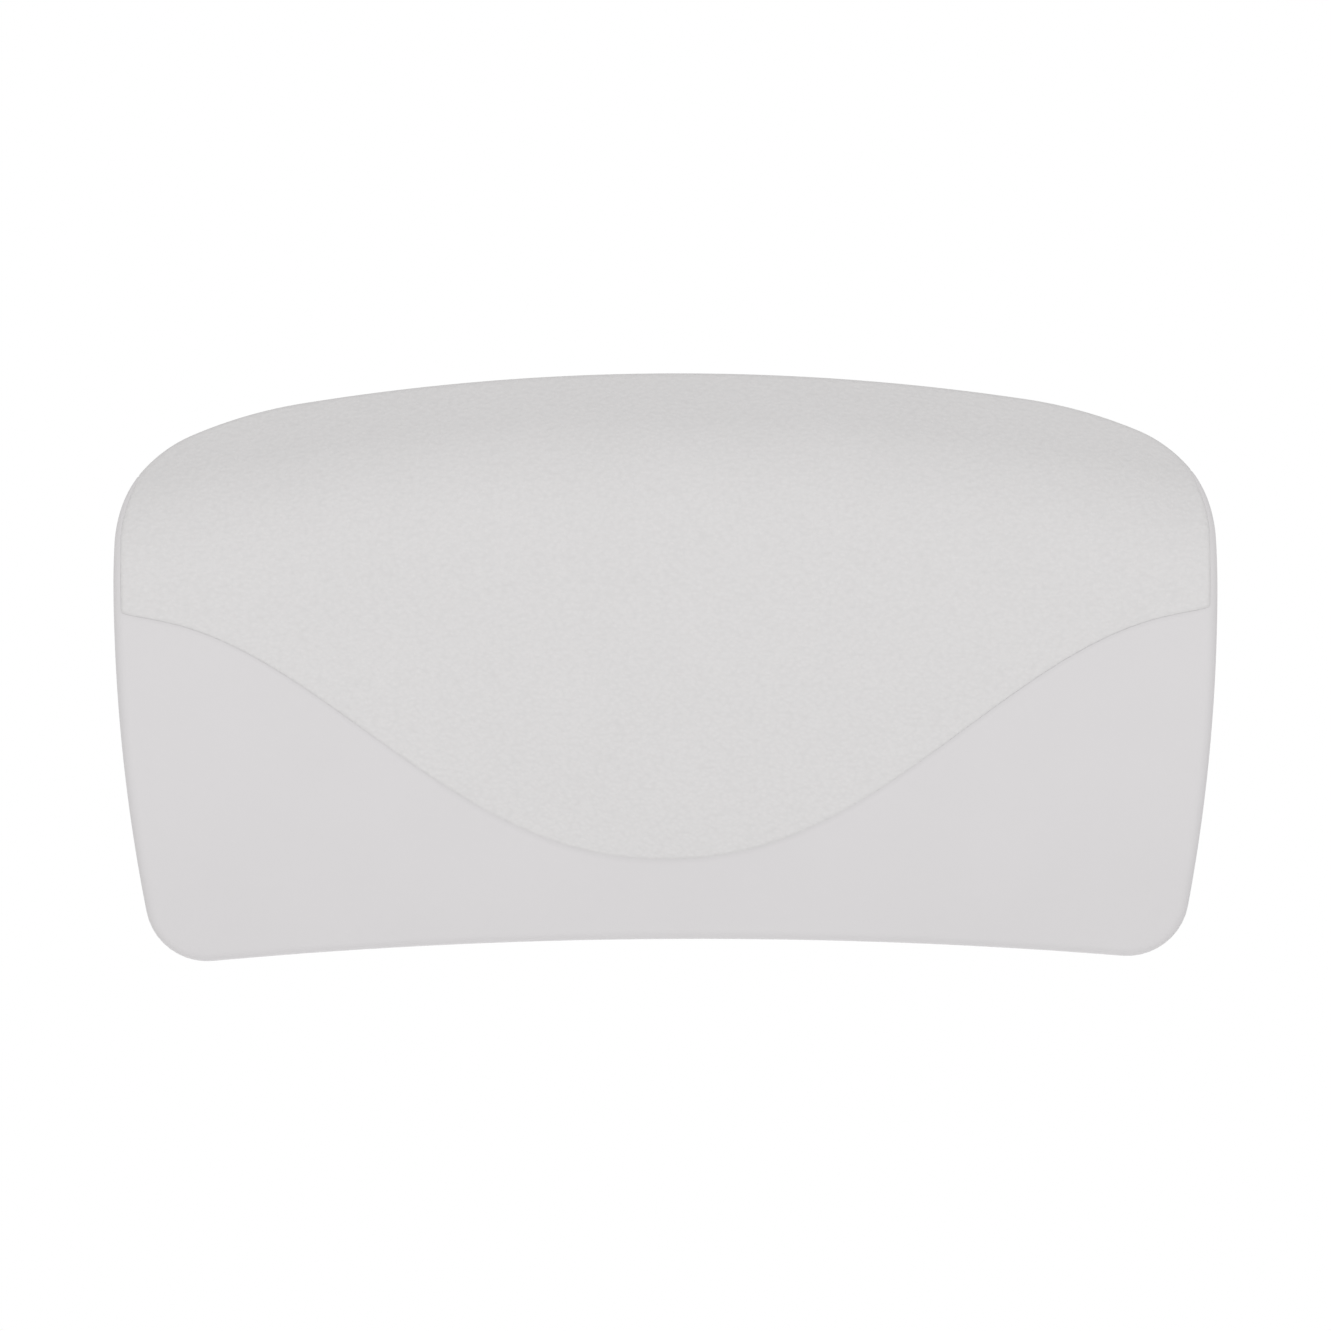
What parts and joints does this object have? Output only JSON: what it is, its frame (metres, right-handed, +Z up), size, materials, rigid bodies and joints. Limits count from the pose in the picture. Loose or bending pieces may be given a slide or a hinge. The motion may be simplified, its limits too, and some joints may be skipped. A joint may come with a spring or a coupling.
{
  "type": "hot tub headrest",
  "caption": "Soft moulded hot tub headrest with a rolled-back top, a grained head panel above an S-shaped edge, and barbed plugs behind that push into the tub wall.",
  "frame": {"origin": "on the flat back face, midway between the two plugs", "axes": "+X along the headrest, +Y back into the tub wall, +Z up"},
  "size_m": [0.29, 0.0786, 0.156],
  "materials": {
    "cushion_skin": "smooth matt skin of moulded foam",
    "grained_skin": "matt skin with a fine leather grain",
    "plate_plastic": "fine moulded texture",
    "plug_plastic": "satin moulded",
    "seal_rubber": "matt",
    "screw_steel": "bright stainless steel",
    "insert_brass": "turned"
  },
  "bodies": {
    "root": {"cushion_body": "cushion_skin", "head_panel": "grained_skin", "carrier_plate": "plate_plastic", "threaded_insert_left": "insert_brass", "threaded_insert_right": "insert_brass", "mounting_plug_left": "plug_plastic", "mounting_plug_right": "plug_plastic", "plug_screw_left": "screw_steel", "plug_screw_right": "screw_steel", "seal_ring_left": "seal_rubber", "seal_ring_right": "seal_rubber"}
  },
  "joints": []
}
